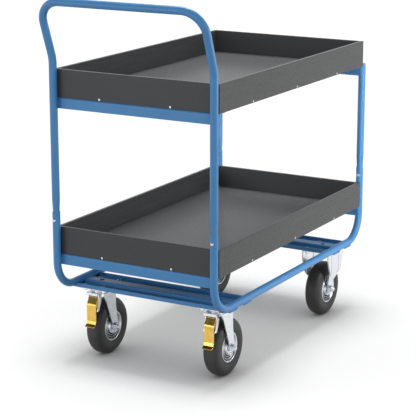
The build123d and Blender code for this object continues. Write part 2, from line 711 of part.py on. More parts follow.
def rim(y):
    """Cast rim in two halves, back to back, each with a flange, a ringed face and half of the hub."""
    edge = RIM_WIDTH / 2
    flange_in = edge - RIM_FLANGE_WALL
    rings = []
    for ring in range(RING_COUNT):
        groove_x = edge - RING_DEPTH - ring * RING_FALL
        groove_r = RIM_FACE_R - (2 * ring + 1) * RING_PITCH
        rings += [(groove_x, groove_r), (groove_x + RING_HEIGHT, groove_r - RING_PITCH)]
    rings[-1] = (HUB_REACH, HUB_R)
    face = FilletPolyline((edge, RIM_FACE_R), *rings, radius=RING_BEND_R)
    back = Polyline(
        (HUB_REACH, HUB_R),
        (HUB_REACH, HUB_BORE_R),
        (RIM_HALF_GAP, HUB_BORE_R),
        (RIM_HALF_GAP, RIM_SEAT_R),
        (flange_in, RIM_SEAT_R),
        (flange_in, RIM_FLANGE_R),
        (edge, RIM_FLANGE_R),
        (edge, RIM_FACE_R),
    )
    half = turned(make_face(face.edges() + back.edges()), y)
    return [half, mirror(half, Plane.YZ)]


def bearing(y):
    """Bearing sleeve pressed into the hub, running on the axle bolt."""
    shoulder = BEARING_HALF_LENGTH - BEARING_STEP
    section = Polygon(
        *mirrored(
            [
                (-BEARING_HALF_LENGTH, AXLE_R + RUNNING_FIT),
                (-BEARING_HALF_LENGTH, BEARING_SLEEVE_R),
                (-shoulder, BEARING_SLEEVE_R),
                (-shoulder, HUB_BORE_R - BEARING_FIT),
            ]
        ),
        align=None,
    )
    return turned(section, y)


def placed(pieces, x, y):
    """Pieces drawn about a castor's own axis, moved to that castor."""
    if not isinstance(pieces, list):
        pieces = [pieces]
    return [Pos(x, y, 0) * piece for piece in pieces]


def frame_nodes():
    """Tubes, handle, caps, joints, angles and cross members."""
    nodes = {"push_handle": push_handle()}
    corners = [(x, y) for x in (-POST_X, POST_X) for y in (-POST_Y, POST_Y)]
    for name, side in SIDES.items():
        nodes[f"side_tube_{name}"] = side_tube(side * POST_X)
        nodes[f"far_post_{name}"] = far_post(side * POST_X)
    nodes["post_caps"] = [post_cap(side * POST_X) for side in SIDES.values()]
    nodes["joint_bolts"] = [joint_bolt(x, y) for x, y in corners]
    for level, tray_z in (("upper", UPPER_TRAY_Z), ("lower", LOWER_TRAY_Z)):
        nodes[f"{level}_angle_handle_end"] = tray_angle(tray_z, -1)
        nodes[f"{level}_angle_far_end"] = tray_angle(tray_z, 1)
    nodes["cross_member_handle_end"] = cross_member(-1)
    nodes["cross_member_far_end"] = cross_member(1)
    return nodes


def tray_nodes():
    """Boards and screws of both trays."""
    nodes = {}
    screws = []
    for level, tray_z in (("upper", UPPER_TRAY_Z), ("lower", LOWER_TRAY_Z)):
        for name, board in tray_boards(tray_z).items():
            nodes[f"{level}_tray_{name}"] = board
        screws += board_screws(tray_z) + fixing_screws(tray_z, -1) + fixing_screws(tray_z, 1)
    nodes["tray_screws"] = screws
    return nodes


def wheel_nodes(name, x, y, axle_y):
    """Tyre, rim and bearing of one wheel."""
    return {
        f"tyre_{name}": placed(tyre(axle_y), x, y),
        f"rim_{name}": placed(rim(axle_y), x, y),
        f"bearing_{name}": placed(bearing(axle_y), x, y),
    }


def castor_nodes():
    """All four castors with their bolts and nuts."""
    places = bolt_places(-1) + bolt_places(1)
    nodes = {
        "castor_bolts": [castor_bolt(x, y) for x, y in places],
        "castor_nuts": [castor_nut(x, y) for x, y in places],
        "kingpins": [],
        "fixed_axles": [],
        "fixed_axle_nuts": [],
    }
    for name, side in SIDES.items():
        x = side * CASTOR_X
        nodes["kingpins"] += placed(kingpin(), x, -CASTOR_Y)
        swivel = {
            "swivel_plate": swivel_plate(),
            "race_ring": race_ring(),
            "swivel_fork": swivel_fork(),
            "swivel_axle": axle_bolt(TRAIL, LEG_OUTER_X),
            "swivel_axle_nut": axle_nut(TRAIL, LEG_OUTER_X),
            "brake_bracket": brake_bracket(),
            "brake_pin": brake_pin(),
            "brake_pedal": brake_pedal(),
        }
        for piece, solid in swivel.items():
            nodes[f"{piece}_{name}"] = placed(solid, x, -CASTOR_Y)
        nodes |= wheel_nodes(f"swivel_{name}", x, -CASTOR_Y, TRAIL)
        nodes[f"fixed_fork_{name}"] = placed(fixed_fork(), x, CASTOR_Y)
        nodes["fixed_axles"] += placed(axle_bolt(0, LEG_OUTER_X), x, CASTOR_Y)
        nodes["fixed_axle_nuts"] += placed(axle_nut(0, LEG_OUTER_X), x, CASTOR_Y)
        nodes |= wheel_nodes(f"fixed_{name}", x, CASTOR_Y, 0)
    return nodes


def main():
    """Write one file for each node, with the trolley standing over the origin."""
    os.makedirs("parts", exist_ok=True)
    nodes = frame_nodes() | tray_nodes() | castor_nodes()
    for name, pieces in nodes.items():
        if not isinstance(pieces, list):
            pieces = [pieces]
        solids = [solid for piece in pieces for solid in piece.solids()]
        moved = [Pos(0, FRAME_Y, 0) * solid for solid in solids]
        export_step(Compound(children=moved) if len(moved) > 1 else moved[0], f"parts/{name}.step")


main()
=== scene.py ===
import json
import math

import bmesh
import bpy
from mathutils import Matrix, Vector


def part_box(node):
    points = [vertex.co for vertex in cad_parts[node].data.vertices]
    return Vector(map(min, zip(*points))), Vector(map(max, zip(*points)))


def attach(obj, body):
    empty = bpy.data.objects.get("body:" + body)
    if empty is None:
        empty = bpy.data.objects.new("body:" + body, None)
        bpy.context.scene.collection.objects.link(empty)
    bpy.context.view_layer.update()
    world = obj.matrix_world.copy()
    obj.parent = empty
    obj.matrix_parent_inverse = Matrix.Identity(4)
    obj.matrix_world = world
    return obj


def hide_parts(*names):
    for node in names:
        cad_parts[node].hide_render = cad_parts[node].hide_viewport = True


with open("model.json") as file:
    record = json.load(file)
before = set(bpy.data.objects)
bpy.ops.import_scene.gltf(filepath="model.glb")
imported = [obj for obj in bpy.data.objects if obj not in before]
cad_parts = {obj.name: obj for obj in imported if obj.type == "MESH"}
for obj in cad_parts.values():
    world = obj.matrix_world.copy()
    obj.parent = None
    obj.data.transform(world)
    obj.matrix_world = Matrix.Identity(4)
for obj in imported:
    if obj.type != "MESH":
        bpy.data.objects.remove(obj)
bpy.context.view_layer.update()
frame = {"nodes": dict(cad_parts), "record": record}

MM = 0.001

# The camera stands to the right of the handle and looks down at the trolley through a long lens.
CAMERA_PLACE = (2.109, -3.7475, 1.465)
CAMERA_TURN_DEG = 29.52
CAMERA_DIP_DEG = 14.17
LENS_MM = 135.4
SENSOR_MM = 36.0

# Studio: a soft dome, brightest at the horizon and with a dim ceiling in reflections, over a white floor.
# Lengths are in metres, and a strength of 1 is white.
FLOOR_SIZE = 60.0
FLOOR_BOUNCE = 0.22
FLOOR_TONE = 0.52
FLOOR_GLOW = 0.32
# Painted shade on the floor close round the wheels: how far it reaches, and the opening at which it is
# full.
CONTACT_SHADE_REACH = 0.26
CONTACT_SHADE_FULL = 0.05
DOME_HORIZON = 1.15
DOME_ZENITH = 0.6
CEILING_SEEN = 0.12
CEILING_FROM = 0.2
CEILING_FULL = 0.55

# Lamps: a low one on the right that is nearer to the far end, a soft box above and behind, a small low one
# at the front left that puts a line of light on bends, a narrow beam on the painted tubes of the far end,
# a fill from the left for the lower tray in the shade of the upper one, and one overhead for the floor's
# shadow. Lamps without an aim of their own point at the floor under the trolley.
LAMP_AIM = (0.0, 0.0, 0.0)
KEY_PLACE = (1.35, 0.45, 0.75)
KEY_SIZE = 0.6
KEY_POWER = 7.2
BOX_PLACE = (-0.4, 0.75, 2.6)
BOX_SIZE = 1.0
BOX_POWER = 40.0
GLINT_PLACE = (-1.85, -3.8, 0.8)
GLINT_SIZE = 0.9
GLINT_POWER = 8.0
BEAM_PLACE = (2.28, -1.01, 0.5)
BEAM_AIM = (-0.1, 0.47, 0.5)
BEAM_SIZE = 0.6
BEAM_SPREAD_DEG = 18.0
BEAM_POWER = 0.7
FILL_PLACE = (-1.0, 0.25, 1.0)
FILL_AIM = (0.0, 0.15, 0.32)
FILL_SIZE = 1.1
FILL_POWER = 18.0
FLOOR_LAMP_PLACE = (0.0, 0.0, 3.0)
FLOOR_LAMP_WIDTH_DEG = 18.0
FLOOR_LAMP_STRENGTH = 2.1
WIDEST_SPREAD_DEG = 180.0

# Patterns on the surfaces, with sizes and depths in millimetres; the film's grain is also drawn out along
# the boards. The paint's peel, the film's pebble, the rim's turning lines, the rubber's grit and the caps'
# grain are finer on the real trolley: they are drawn as coarse as they need to be to show in a render.
PAINT_DRIFT = 120.0
PAINT_PEEL = 2.4
PAINT_PEEL_DEPTH = 0.12
FILM_PEBBLE = 3.5
FILM_PEBBLE_DEPTH = 0.15
FILM_GRAIN = 5.0
FILM_GRAIN_SQUEEZE = 0.03
ZINC_CLOUD = 18.0
TURNING_LINE = 0.942
TURNING_DEPTH = 0.1
# Reach of the painted shade in the rim's grooves.
GROOVE_SHADE_REACH = 6.0
PASSIVATION_CLOUD = 16.0
RUBBER_BLOOM = 22.0
RUBBER_GRIT = 1.5
RUBBER_GRIT_DEPTH = 0.12
CAP_GRAIN = 1.2
CAP_GRAIN_DEPTH = 0.1

# Gloss of the boards' film, and of the duller film on the bases, which are painted paler as light.
FILM_GLOSS = 0.22
BASE_FILM_GLOSS = 0.08

# Edges that the shading softens, as radii in millimetres. Their paling, for wear and as a painted
# highlight, starts at one bend and is full at another, where a bend is the cosine of the angle between the
# soft normal and the true one.
PAINT_EDGE = 0.8
PAINT_PALING_BEND = 0.995
PAINT_EDGE_WEAR_AND_HIGHLIGHT = 0.45
BOARD_EDGE = 1.0
BOARD_PALING_BEND = 0.99
BOARD_EDGE_WEAR_AND_HIGHLIGHT = 0.25
ZINC_EDGE = 0.7
PEDAL_EDGE = 0.8
FULL_PALING_BEND = 0.8
EDGE_SAMPLES = 4
SHADE_SAMPLES = 8

# Sockets of a colour mix by number, because others on that node have the same names, and the middle of a
# piece in coordinates that run from 0 to 1 over its box.
COLOUR_A = 6
COLOUR_B = 7
COLOUR_OUT = 2
MIDDLE_OF_BOX = (0.5, 0.5, 0.5)

SIDES = ("left", "right")
WHEELS = [f"{kind}_{side}" for kind in ("swivel", "fixed") for side in SIDES]

# Sides of the rings that round pieces are drawn with, the bend from which an edge is sharp, and the least
# number to divide by.
TYRE_SIDES = 128
RIM_SIDES = 96
HEAD_SIDES = 48
COLLAR_SIDES = 32
BOLT_SIDES = 24
BEAD_SIDES = 12
SHARP_EDGE_DEG = 40.0
NEARLY_NOTHING = 1e-6

# The pieces from here on are drawn in millimetres.
# Tyre section, measured from the wheel's middle and from the axle. Each point of the bead lies in from the
# tyre's side and out from its lip.
TYRE_SEAT_X = 17.6
TYRE_SEAT_R = 38.6
TYRE_LIP_R = 44.0
TYRE_LIP_EDGE = 0.4
TYRE_BEAD = ((2.8, 0.0), (2.0, 0.6), (1.6, 1.8), (1.9, 3.2), (1.5, 4.6), (0.6, 7.6), (0.15, 11.6))
TYRE_SHOULDER_R = 17.0
TYRE_SHOULDER_DEG = 88.0
TYRE_SHOULDER_STEPS = 9
TYRE_TREAD_DROP = 0.25
PARTING_HALF = 0.6

# Rim section, on the same axes. Each point of the flange's edge lies in from its face and down from its
# crest, and the corner of the rim's face is cut by that much across and outwards.
RIM_EDGE_X = 20.5
RIM_SEAT_R = 38.4
RIM_FLANGE_R = 42.4
RIM_FLANGE_WALL = 3.0
RIM_FLANGE_BACK = 0.6
RIM_FLANGE_EDGE = ((0.8, 0.0), (0.2, 0.3), (0.0, 1.0))
RIM_FACE_R = 39.5
RIM_FACE_CORNER = (0.4, 0.8)
RING_COUNT = 3
RING_DEPTH = 7.0
RING_FALL = 0.7
RING_HEIGHT = 5.2
RING_STEPS = 12
HUB_R = 19.5
HUB_BORE_R = 16.5
HUB_PROUD = 2.0
HUB_EDGE = 0.6

# Axles: a hexagon bolt with its head on the left and a lock nut on the right. Each point of the nut's
# rolled collar lies in from its side and down from its top.
AXLE_R = 6.0
AXLE_FLATS = 18.0
AXLE_HEAD_HEIGHT = 7.0
AXLE_HEAD_MIDDLE_R = 1.0
AXLE_NUT_HEX = 6.4
AXLE_NUT_HEIGHT = 9.0
AXLE_COLLAR_R = 8.2
AXLE_COLLAR_SUNK = 1.0
AXLE_COLLAR_ROLL = ((0.0, 1.2), (0.35, 0.4), (1.1, 0.0))
AXLE_TAIL = 2.0

# Hexagons have a crown, as a share of the width over their flats, round which the corners slope away.
HEXAGON_CROWN = 0.47
HEXAGON_CHAMFER_DEG = 30.0
BOLT_CHAMFER = 0.8

# Round bolt heads: shares of the head's height for the rim below the dome and for the floor of the socket,
# a share of its radius for the socket's flats, and the turn of the dome, which narrows more slowly than it
# rises.
BUTTON_RIM = 0.12
BUTTON_SOCKET_FLOOR = 0.35
BUTTON_SOCKET_FLATS = 0.8
BUTTON_DOME_DEG = 75.0
BUTTON_DOME_STEPS = 5
BUTTON_NARROWING = 0.85

# Castor bolts and the small bolts of the tube joints.
BOLT_PITCH_X = 60.0
BOLT_PITCH_Y = 80.0
MEMBER_SHEET = 2.5
CASTOR_HEAD_R = 7.0
CASTOR_HEAD_HEIGHT = 4.4
CASTOR_BOLT_R = 4.0
CASTOR_NUT_FLATS = 13.0
CASTOR_NUT_HEIGHT = 6.5
JOINT_HEAD_R = 4.4
JOINT_HEAD_HEIGHT = 3.0
JOINT_SHANK_R = 2.5
JOINT_SHANK = 8.0

# Tray screws. Each point of the head's edge lies in from its side and below the face of the board.
SCREW_LENGTH = 28.0
SCREW_SHANK_R = 1.5
SCREW_TIP_R = 0.3
SCREW_TIP_LENGTH = 3.0
SCREW_HEAD_R = 2.9
SCREW_HEAD_DEPTH = 2.0
SCREW_HEAD_EDGE = ((0.1, 0.3), (0.15, 0.02))
RECESS_REACH = 1.8
RECESS_HALF = 0.55
RECESS_DEPTH = 1.2
RECESS_TAPER = 0.7
END_SCREW_X = 107.0
SIDE_SCREW_Y = 254.0
SCREW_ABOVE_TRAY = 4.5
FIXING_LENGTH = 9.0
FIXING_X = 160.0
FIXING_INSIDE_FACE = 20.0
ANGLE_SHEET = 3.0

# Weld beads where the tray angles and cross members meet the tube. A bead starts at a share of its width
# and widens as it goes on.
BEAD_R = 1.9
BEAD_RIPPLE = 0.25
BEAD_RIPPLE_PITCH = 2.4
BEAD_RIPPLE_STEPS = 4
BEAD_START = 0.4
BEAD_WIDENING = 4.0
ANGLE_BEAD_OFFSET = 6.6
ANGLE_BEAD_OUT = 1.6
ANGLE_BEAD_ABOVE_FOOT = 2.0
ANGLE_BEAD_BELOW_TOP = 6.0
MEMBER_BEAD_OFFSET = 7.0
MEMBER_BEAD_LIFT = 0.8
MEMBER_BEAD_FROM = 21.0
MEMBER_BEAD_TO = 53.0


def linear(code):
    """An sRGB hex colour as linear red, green, blue and a full alpha."""
    channels = [int(code[i:i + 2], 16) / 255 for i in (1, 3, 5)]
    return [c / 12.92 if c <= 0.04045 else ((c + 0.055) / 1.055) ** 2.4 for c in channels] + [1.0]


def add_node(tree, kind, values=None, links=None, **settings):
    """Adds a node with its settings, the values of its sockets and links from other nodes' outputs."""
    node = tree.nodes.new(kind)
    for name, value in settings.items():
        setattr(node, name, value)
    for socket, value in (values or {}).items():
        node.inputs[socket].default_value = value
    for socket, source in (links or {}).items():
        tree.links.new(source, node.inputs[socket])
    return node


def new_material(name, **values):
    """A material with one principled shader, whose sockets take the values given."""
    material = bpy.data.materials.new(name)
    material.use_nodes = True
    tree = material.node_tree
    shader = tree.nodes["Principled BSDF"]
    for socket, value in values.items():
        shader.inputs[socket.replace("_", " ")].default_value = value
    return material, tree, shader


def per_metre(size_mm):
    """Texture scale that gives features of a size in millimetres."""
    return 1 / (size_mm * MM)


def pale_edges_worn_and_highlit(tree, radius, first_bend, most):
    """A normal softened over edges of a radius, and their paling for wear and a painted highlight: none up
    to the first bend, then more.
    """
    soft = add_node(tree, "ShaderNodeBevel", {"Radius": radius * MM}, samples=EDGE_SAMPLES)
    faces = add_node(tree, "ShaderNodeNewGeometry")
    bend = add_node(tree, "ShaderNodeVectorMath",
                    links={0: soft.outputs["Normal"], 1: faces.outputs["Normal"]}, operation="DOT_PRODUCT")
    wear_and_highlight = add_node(tree, "ShaderNodeMapRange",
                    {"From Min": first_bend, "From Max": FULL_PALING_BEND, "To Min": 0.0, "To Max": most},
                    {"Value": bend.outputs["Value"]})
    return soft.outputs["Normal"], wear_and_highlight.outputs["Result"]


def off_axle(tree, place, size):
    """Distance from a wheel's axle, for a piece of the given size across."""
    middle = add_node(tree, "ShaderNodeVectorMath", {1: MIDDLE_OF_BOX},
                      {0: place.outputs["Generated"]}, operation="SUBTRACT")
    flat = add_node(tree, "ShaderNodeVectorMath", {1: (0.0, size, size)},
                    {0: middle.outputs["Vector"]}, operation="MULTIPLY")
    radius = add_node(tree, "ShaderNodeVectorMath", links={0: flat.outputs["Vector"]}, operation="LENGTH")
    return radius.outputs["Value"]


def powder_coated_steel():
    """Blue powder coat, sprayed dry and baked: an even semi-gloss skin with a slight orange peel.

    The coat is thinner over sharp edges, which are painted a little paler for that and as a painted
    highlight.
    """
    material, tree, shader = new_material("powder_coated_steel", IOR=1.5)
    place = add_node(tree, "ShaderNodeTexCoord")
    drift = add_node(tree, "ShaderNodeTexNoise", {"Scale": per_metre(PAINT_DRIFT), "Detail": 3.0},
                     {"Vector": place.outputs["Object"]})
    colour = add_node(tree, "ShaderNodeMix", {COLOUR_A: linear("#3F80B9"), COLOUR_B: linear("#478CC6")},
                      {"Factor": drift.outputs["Fac"]}, data_type="RGBA")
    soft, wear_and_highlight = pale_edges_worn_and_highlit(tree, PAINT_EDGE, PAINT_PALING_BEND, PAINT_EDGE_WEAR_AND_HIGHLIGHT)
    # Paler edges: a thinner coat, and a painted highlight.
    worn = add_node(tree, "ShaderNodeMix", {COLOUR_B: linear("#7DB4E8")},
                    {"Factor": wear_and_highlight, COLOUR_A: colour.outputs[COLOUR_OUT]}, data_type="RGBA")
    tree.links.new(worn.outputs[COLOUR_OUT], shader.inputs["Base Color"])
    peel = add_node(tree, "ShaderNodeTexNoise", {"Scale": per_metre(PAINT_PEEL), "Detail": 1.5},
                    {"Vector": place.outputs["Object"]})
    gloss = add_node(tree, "ShaderNodeMapRange",
                     {"From Min": 0.3, "From Max": 0.7, "To Min": 0.3, "To Max": 0.4},
                     {"Value": peel.outputs["Fac"]})
    tree.links.new(gloss.outputs["Result"], shader.inputs["Roughness"])
    bump = add_node(tree, "ShaderNodeBump", {"Strength": 0.12, "Distance": PAINT_PEEL_DEPTH * MM},
                    {"Height": peel.outputs["Fac"], "Normal": soft})
    tree.links.new(bump.outputs["Normal"], shader.inputs["Normal"])
    return material


def film_faced_board(name, dark_code, pale_code, end_code, gloss_level):
    """Charcoal phenolic film hot-pressed on plywood: matt, with a fine pebble and a faint long grain.

    The film drifts between two tones, and the gloss level says how much it shines. Faces that face along
    the trolley take the end colour, near black on the long boards: painted shade where their ends meet the
    posts.
    Edges are paler, for wear and as a painted highlight.
    """
    material, tree, shader = new_material(name, Specular_IOR_Level=gloss_level)
    place = add_node(tree, "ShaderNodeTexCoord")
    pebble = add_node(tree, "ShaderNodeTexNoise",
                      {"Scale": per_metre(FILM_PEBBLE), "Detail": 5.0, "Roughness": 0.65},
                      {"Vector": place.outputs["Object"]})
    film = add_node(tree, "ShaderNodeMix", {COLOUR_A: linear(dark_code), COLOUR_B: linear(pale_code)},
                    {"Factor": pebble.outputs["Fac"]}, data_type="RGBA")
    along = add_node(tree, "ShaderNodeMapping", {"Scale": (1.0, FILM_GRAIN_SQUEEZE, 1.0)},
                     {"Vector": place.outputs["Object"]})
    grain = add_node(tree, "ShaderNodeTexNoise", {"Scale": per_metre(FILM_GRAIN), "Detail": 3.0},
                     {"Vector": along.outputs["Vector"]})
    streak = add_node(tree, "ShaderNodeMapRange",
                      {"From Min": 0.42, "From Max": 0.72, "To Min": 0.0, "To Max": 0.35},
                      {"Value": grain.outputs["Fac"]})
    grained = add_node(tree, "ShaderNodeMix", {COLOUR_B: linear("#5A5B5C")},
                       {"Factor": streak.outputs["Result"], COLOUR_A: film.outputs[COLOUR_OUT]},
                       data_type="RGBA")
    facing = add_node(tree, "ShaderNodeSeparateXYZ", links={"Vector": place.outputs["Normal"]})
    end_face = add_node(tree, "ShaderNodeMath", links={0: facing.outputs["Y"]}, operation="ABSOLUTE")
    # Faces along the trolley. On the long boards these are their ends, painted near black as shade next to
    # the posts.
    end_facing = add_node(tree, "ShaderNodeMapRange",
                      {"From Min": 0.8, "From Max": 0.95, "To Min": 0.0, "To Max": 1.0},
                      {"Value": end_face.outputs["Value"]})
    ended = add_node(tree, "ShaderNodeMix", {COLOUR_B: linear(end_code)},
                     {"Factor": end_facing.outputs["Result"], COLOUR_A: grained.outputs[COLOUR_OUT]},
                     data_type="RGBA")
    soft, wear_and_highlight = pale_edges_worn_and_highlit(tree, BOARD_EDGE, BOARD_PALING_BEND, BOARD_EDGE_WEAR_AND_HIGHLIGHT)
    # Paler edges: wear, and a painted highlight.
    edge_paled = add_node(tree, "ShaderNodeMix", {COLOUR_B: linear("#6A6A6B")},
                      {"Factor": wear_and_highlight, COLOUR_A: ended.outputs[COLOUR_OUT]}, data_type="RGBA")
    tree.links.new(edge_paled.outputs[COLOUR_OUT], shader.inputs["Base Color"])
    sheen = add_node(tree, "ShaderNodeMapRange",
                     {"From Min": 0.35, "From Max": 0.65, "To Min": 0.26, "To Max": 0.33},
                     {"Value": pebble.outputs["Fac"]})
    tree.links.new(sheen.outputs["Result"], shader.inputs["Roughness"])
    bump = add_node(tree, "ShaderNodeBump", {"Strength": 0.15, "Distance": FILM_PEBBLE_DEPTH * MM},
                    {"Height": pebble.outputs["Fac"], "Normal": soft})
    tree.links.new(bump.outputs["Normal"], shader.inputs["Normal"])
    return material


def zinc_plated_steel():
    """Bright zinc electroplated on pressed steel: a pale, bluish metal with a soft cloud in its gloss."""
    material, tree, shader = new_material("zinc_plated_steel", Metallic=1.0)
    place = add_node(tree, "ShaderNodeTexCoord")
    cloud = add_node(tree, "ShaderNodeTexNoise", {"Scale": per_metre(ZINC_CLOUD), "Detail": 4.0},
                     {"Vector": place.outputs["Object"]})
    colour = add_node(tree, "ShaderNodeMix", {COLOUR_A: linear("#DADEE4"), COLOUR_B: linear("#ECEEF1")},
                      {"Factor": cloud.outputs["Fac"]}, data_type="RGBA")
    tree.links.new(colour.outputs[COLOUR_OUT], shader.inputs["Base Color"])
    gloss = add_node(tree, "ShaderNodeMapRange",
                     {"From Min": 0.3, "From Max": 0.7, "To Min": 0.2, "To Max": 0.32},
                     {"Value": cloud.outputs["Fac"]})
    tree.links.new(gloss.outputs["Result"], shader.inputs["Roughness"])
    soft = add_node(tree, "ShaderNodeBevel", {"Radius": ZINC_EDGE * MM}, samples=EDGE_SAMPLES)
    tree.links.new(soft.outputs["Normal"], shader.inputs["Normal"])
    return material


def turned_rim_metal():
    """Cast rim, faced on a lathe and plated: bright, with turning lines and painted shade darkening its
    grooves.
    """
    material, tree, shader = new_material("turned_rim_metal", Metallic=1.0)
    place = add_node(tree, "ShaderNodeTexCoord")
    radius_mm = off_axle(tree, place, 2 * RIM_FLANGE_R)
    lines = add_node(tree, "ShaderNodeTexNoise", {"Scale": 1 / TURNING_LINE, "Detail": 2.0},
                     {"W": radius_mm}, noise_dimensions="1D")
    bright = add_node(tree, "ShaderNodeMix", {COLOUR_A: linear("#C9CDD2"), COLOUR_B: linear("#ECEEF0")},
                      {"Factor": lines.outputs["Fac"]}, data_type="RGBA")
    # Painted shade: where little is open round the rim's surface, in its grooves, the colour goes to a dull
    # grey.
    open_sky = add_node(tree, "ShaderNodeAmbientOcclusion", {"Distance": GROOVE_SHADE_REACH * MM},
                        samples=SHADE_SAMPLES, only_local=True)
    film = add_node(tree, "ShaderNodeMapRange",
                    {"From Min": 0.4, "From Max": 0.8, "To Min": 0.97, "To Max": 0.0},
                    {"Value": open_sky.outputs["AO"]})
    colour = add_node(tree, "ShaderNodeMix", {COLOUR_B: linear("#4A5058")},
                      {"Factor": film.outputs["Result"], COLOUR_A: bright.outputs[COLOUR_OUT]},
                      data_type="RGBA")
    tree.links.new(colour.outputs[COLOUR_OUT], shader.inputs["Base Color"])
    gloss = add_node(tree, "ShaderNodeMapRange",
                     {"From Min": 0.3, "From Max": 0.7, "To Min": 0.18, "To Max": 0.32},
                     {"Value": lines.outputs["Fac"]})
    tree.links.new(gloss.outputs["Result"], shader.inputs["Roughness"])
    bump = add_node(tree, "ShaderNodeBump", {"Strength": 0.1, "Distance": TURNING_DEPTH * MM},
                    {"Height": lines.outputs["Fac"]})
    tree.links.new(bump.outputs["Normal"], shader.inputs["Normal"])
    return material


def yellow_passivated_zinc():
    """Zinc plate dipped in yellow passivation: a golden metal whose thin film drifts in tone."""
    material, tree, shader = new_material("yellow_passivated_zinc", Metallic=1.0)
    place = add_node(tree, "ShaderNodeTexCoord")
    cloud = add_node(tree, "ShaderNodeTexNoise", {"Scale": per_metre(PASSIVATION_CLOUD), "Detail": 3.0},
                     {"Vector": place.outputs["Object"]})
    film = add_node(tree, "ShaderNodeValToRGB", links={"Fac": cloud.outputs["Fac"]})
    tones = film.color_ramp.elements
    tones[0].position = 0.3
    tones[0].color = linear("#CEAA4E")
    tones[1].position = 0.7
    tones[1].color = linear("#E7C070")
    tones.new(0.5).color = linear("#E0B85E")
    tree.links.new(film.outputs["Color"], shader.inputs["Base Color"])
    gloss = add_node(tree, "ShaderNodeMapRange",
                     {"From Min": 0.3, "From Max": 0.7, "To Min": 0.15, "To Max": 0.26},
                     {"Value": cloud.outputs["Fac"]})
    tree.links.new(gloss.outputs["Result"], shader.inputs["Roughness"])
    soft = add_node(tree, "ShaderNodeBevel", {"Radius": PEDAL_EDGE * MM}, samples=EDGE_SAMPLES)
    tree.links.new(soft.outputs["Normal"], shader.inputs["Normal"])
    return material


def moulded_rubber():
    """Solid rubber, moulded: nearly black and dull, with a grey bloom and a dusty, scuffed tread."""
    material, tree, shader = new_material("moulded_rubber", IOR=1.52)
    place = add_node(tree, "ShaderNodeTexCoord")
    bloom = add_node(tree, "ShaderNodeTexNoise", {"Scale": per_metre(RUBBER_BLOOM), "Detail": 4.0},
                     {"Vector": place.outputs["Object"]})
    skin = add_node(tree, "ShaderNodeMix", {COLOUR_A: linear("#202020"), COLOUR_B: linear("#2C2C2C")},
                    {"Factor": bloom.outputs["Fac"]}, data_type="RGBA")
    grit = add_node(tree, "ShaderNodeTexNoise", {"Scale": per_metre(RUBBER_GRIT), "Detail": 3.0},
                    {"Vector": place.outputs["Object"]})
    share_of_radius = off_axle(tree, place, 2.0)
    tread = add_node(tree, "ShaderNodeMapRange",
                     {"From Min": 0.95, "From Max": 1.0, "To Min": 0.0, "To Max": 0.6},
                     {"Value": share_of_radius})
    scuff = add_node(tree, "ShaderNodeMath", links={0: tread.outputs["Result"], 1: grit.outputs["Fac"]},
                     operation="MULTIPLY")
    worn = add_node(tree, "ShaderNodeMix", {COLOUR_B: linear("#4A4947")},
                    {"Factor": scuff.outputs["Value"], COLOUR_A: skin.outputs[COLOUR_OUT]},
                    data_type="RGBA")
    tree.links.new(worn.outputs[COLOUR_OUT], shader.inputs["Base Color"])
    dull = add_node(tree, "ShaderNodeMapRange",
                    {"From Min": 0.3, "From Max": 0.7, "To Min": 0.42, "To Max": 0.58},
                    {"Value": bloom.outputs["Fac"]})
    tree.links.new(dull.outputs["Result"], shader.inputs["Roughness"])
    bump = add_node(tree, "ShaderNodeBump", {"Strength": 0.15, "Distance": RUBBER_GRIT_DEPTH * MM},
                    {"Height": grit.outputs["Fac"]})
    tree.links.new(bump.outputs["Normal"], shader.inputs["Normal"])
    return material


def moulded_polyethylene():
    """Grey polyethylene, injection moulded: waxy and dull, with a spark-eroded grain from its mould."""
    material, tree, shader = new_material("moulded_polyethylene", Roughness=0.45, IOR=1.51)
    place = add_node(tree, "ShaderNodeTexCoord")
    grain = add_node(tree, "ShaderNodeTexNoise", {"Scale": per_metre(CAP_GRAIN), "Detail": 2.0},
                     {"Vector": place.outputs["Object"]})
    colour = add_node(tree, "ShaderNodeMix", {COLOUR_A: linear("#7F8285"), COLOUR_B: linear("#939699")},
                      {"Factor": grain.outputs["Fac"]}, data_type="RGBA")
    tree.links.new(colour.outputs[COLOUR_OUT], shader.inputs["Base Color"])
    bump = add_node(tree, "ShaderNodeBump", {"Strength": 0.2, "Distance": CAP_GRAIN_DEPTH * MM},
                    {"Height": grain.outputs["Fac"]})
    tree.links.new(bump.outputs["Normal"], shader.inputs["Normal"])
    return material


def make_finishes():
    """One material for each slot of the record, one for the long boards, ends painted as shade, and one for
    the bases, painted paler as light.
    """
    return {
        "frame": powder_coated_steel(),
        "board": film_faced_board(
            "film_faced_board", "#3D3E3F", "#4C4D4E", "#47484A", FILM_GLOSS),
        # Long boards: their ends are painted near black, as shade where they meet the posts.
        "long_board": film_faced_board(
            "film_faced_board_shade_painted_ends", "#3D3E3F", "#4C4D4E", "#151516", FILM_GLOSS),
        # Bases: the film is painted paler, as painted light for the brighter tray floors.
        "base_board": film_faced_board(
            "film_faced_board_painted_pale_base", "#515253", "#616263", "#47484A", BASE_FILM_GLOSS),
        "zinc": zinc_plated_steel(),
        "rim": turned_rim_metal(),
        "pedal": yellow_passivated_zinc(),
        "tyre": moulded_rubber(),
        "cap": moulded_polyethylene(),
    }


def dress_frame(finishes):
    """Gives every node the finish of its slot; long boards have ends painted as shade, and bases are
    painted paler as light.
    """
    own = {"side": "long_board", "base": "base_board"}
    for part in frame["record"]["subparts"]:
        slot = own.get(part["node"].rpartition("_")[2], part["material_slot"])
        node = frame["nodes"][part["node"]]
        node.data.materials.clear()
        node.data.materials.append(finishes[slot])


